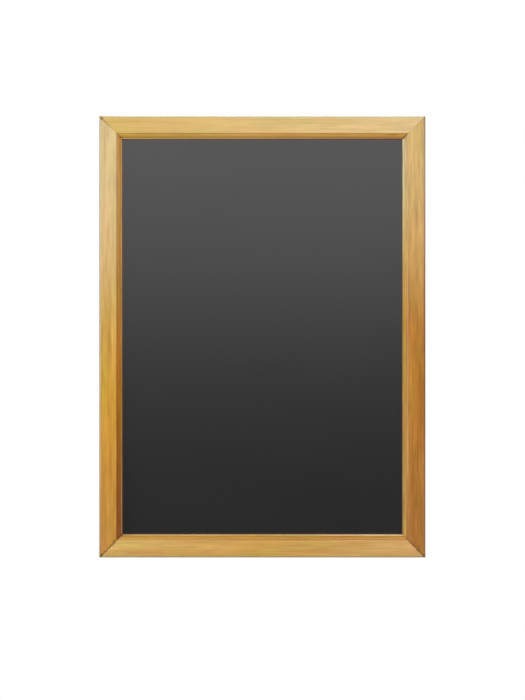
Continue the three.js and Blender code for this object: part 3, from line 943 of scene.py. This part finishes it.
def memberShape(length, reach, joints):
    shape = bmesh.new()
    faces = outlineFace(shape, mouldingSection(), 10)
    # the outline is drawn in x and z: inward becomes z, height becomes -y, and the length runs along x
    for vert in shape.verts:
        vert.co = Vector((-length / 2, -vert.co.z, vert.co.x - reach))
    pulled(shape, faces, (length, 0, 0))
    for sign, joint in zip((-1, 1), joints):
        plane = Vector((sign * (length / 2 - joint["gap"] / 2 / math.sqrt(2)), 0, -reach))
        bmesh.ops.bisect_plane(shape, geom=shape.verts[:] + shape.edges[:] + shape.faces[:], plane_co=plane,
                               plane_no=(sign, 0, 1), clear_outer=True)
        rim = [edge for edge in shape.edges if edge.is_boundary]
        cap = bmesh.ops.contextual_create(shape, geom=rim)["faces"]
        softened(shape, cap[0].edges[:], joint["ease"], 2)
    return shape


for knock in knocks:
    pocketShapes.append(knockShape(*knock))
pockets = joined("pockets", pocketShapes)
for side, look in members.items():
    upright = side in ("left", "right")
    reach, half = (halfWidth, halfHeight) if upright else (halfHeight, halfWidth)
    shape = memberShape(2 * half / mm, reach / mm, [corners[corner] for corner in look["ends"]])
    place = Matrix.Translation(boardCentre) @ turned(look["turn"] * halfTurn)
    piece = asObject(f"{look['node']}_wood", placed(shape, place))
    combined(piece, pockets, "DIFFERENCE", keepOther=True)
    finished(piece, look["node"], "board", look["material"])
bpy.data.objects.remove(pockets)
print("frame members made:", len(members))


# The writing panel, cut from one sheet, with the arrises just broken
panel = {"edge": 0.35}


def panelPiece():
    low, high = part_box("chalk_panel")
    shape = bmesh.new()
    bmesh.ops.create_cube(shape, size=1)
    bmesh.ops.scale(shape, verts=shape.verts, vec=(high - low) / mm)
    softened(shape, shape.edges[:], panel["edge"], 2)
    piece = asObject("chalk_board_panel", placed(shape, Matrix.Translation((low + high) / 2)))
    return finished(piece, "chalk_panel", "board", chalkMaterial)


panelPiece()
print("panel made")


# Stage, light and camera, in metres
stage = {"floorZ": -0.90, "floorSize": 5.0, "floorShade": 0.40, "worldLight": 0.10}
scene = bpy.context.scene


def paleFloor():
    shape = bmesh.new()
    bmesh.ops.create_grid(shape, x_segments=1, y_segments=1, size=stage["floorSize"] / 2)
    bmesh.ops.translate(shape, verts=shape.verts, vec=(0, 0, stage["floorZ"]))
    floor = asObject("pale_floor", shape)
    make = Finish("pale_floor")
    shade = stage["floorShade"]
    diffuse = make.add("ShaderNodeBsdfDiffuse", {"Color": (shade, shade, shade, 1)})
    glow = make.add("ShaderNodeEmission", {"Color": (1, 1, 1, 1), "Strength": 1.0})
    seen = make.add("ShaderNodeLightPath").outputs["Is Camera Ray"]
    both = make.add("ShaderNodeMixShader", {0: seen, 1: diffuse.outputs[0], 2: glow.outputs[0]})
    output = make.tree.nodes["Material Output"]
    make.tree.links.new(both.outputs[0], output.inputs["Surface"])
    floor.data.materials.append(make.material)
    floor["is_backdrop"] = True


# Each lamp's place, its width and height, its radiance and its colour; all of them aim at the board's middle
lamps = {
    "front_softbox": {"at": (0, -1.62, 0.365), "size": (3.0, 1.0), "level": 2.95, "tint": (1.0, 1.0, 1.0)},
    "overhead_light": {"at": (0, -0.45, 1.45), "size": (2.2, 0.5), "level": 2.4, "tint": (1.0, 1.0, 1.0)},
    "left_light": {"at": (-2.05, -1.18, 0.1), "size": (0.8, 1.6), "level": 6.0, "tint": (1.0, 0.99, 0.97)},
    "right_fill": {"at": (1.9, -1.0, 0.36), "size": (1.2, 0.8), "level": 2.5, "tint": (1.0, 0.99, 0.97)},
    "rear_fill": {"at": (0.4, 2.2, 1.2), "size": (1.8, 1.2), "level": 8.0, "tint": (1.0, 1.0, 1.0)},
}


def addLamp(name, values):
    data = bpy.data.lights.new(name, "AREA")
    data.shape = "RECTANGLE"
    data.size, data.size_y = values["size"]
    data.energy = values["level"] * halfTurn * data.size * data.size_y
    data.color = values["tint"]
    lamp = bpy.data.objects.new(name, data)
    scene.collection.objects.link(lamp)
    lamp.location = values["at"]
    towards = Vector((0, 0, centreZ)) - Vector(values["at"])
    lamp.rotation_euler = towards.to_track_quat("-Z", "Y").to_euler()
    lamp.visible_camera = False


def studioWorld():
    world = bpy.data.worlds.new("studio")
    scene.world = world
    world.use_nodes = True
    tree = world.node_tree
    background = tree.nodes["Background"]
    background.inputs["Color"].default_value = (1, 1, 1, 1)
    path = tree.nodes.new("ShaderNodeLightPath")
    level = tree.nodes.new("ShaderNodeMapRange")
    level.inputs["To Min"].default_value = stage["worldLight"]
    tree.links.new(path.outputs["Is Camera Ray"], level.inputs["Value"])
    tree.links.new(level.outputs[0], background.inputs["Strength"])


# The photograph is 700 pixels high, and the board sits a little above and left of its middle, in pixels
shot = {"distance": 2.2, "pictureHeight": 0.9645, "pixelsHigh": 700, "boardUp": 13.2, "boardLeft": 0.15}


def addCamera():
    data = bpy.data.cameras.new("photo_camera")
    data.sensor_width = 36
    data.sensor_fit = "AUTO"
    data.lens = data.sensor_width * shot["distance"] / shot["pictureHeight"]
    data.shift_x = shot["boardLeft"] / shot["pixelsHigh"]
    data.shift_y = -shot["boardUp"] / shot["pixelsHigh"]
    data.clip_start, data.clip_end = 0.01, 100
    camera = bpy.data.objects.new("photo_camera", data)
    scene.collection.objects.link(camera)
    camera.location = (0, faceY - shot["distance"], centreZ)
    camera.rotation_euler = (quarterTurn, 0, 0)
    scene.camera = camera


paleFloor()
for name, values in lamps.items():
    addLamp(name, values)
studioWorld()
addCamera()
scene.view_settings.view_transform = "Standard"
print("stage, lights and camera set")

low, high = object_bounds()
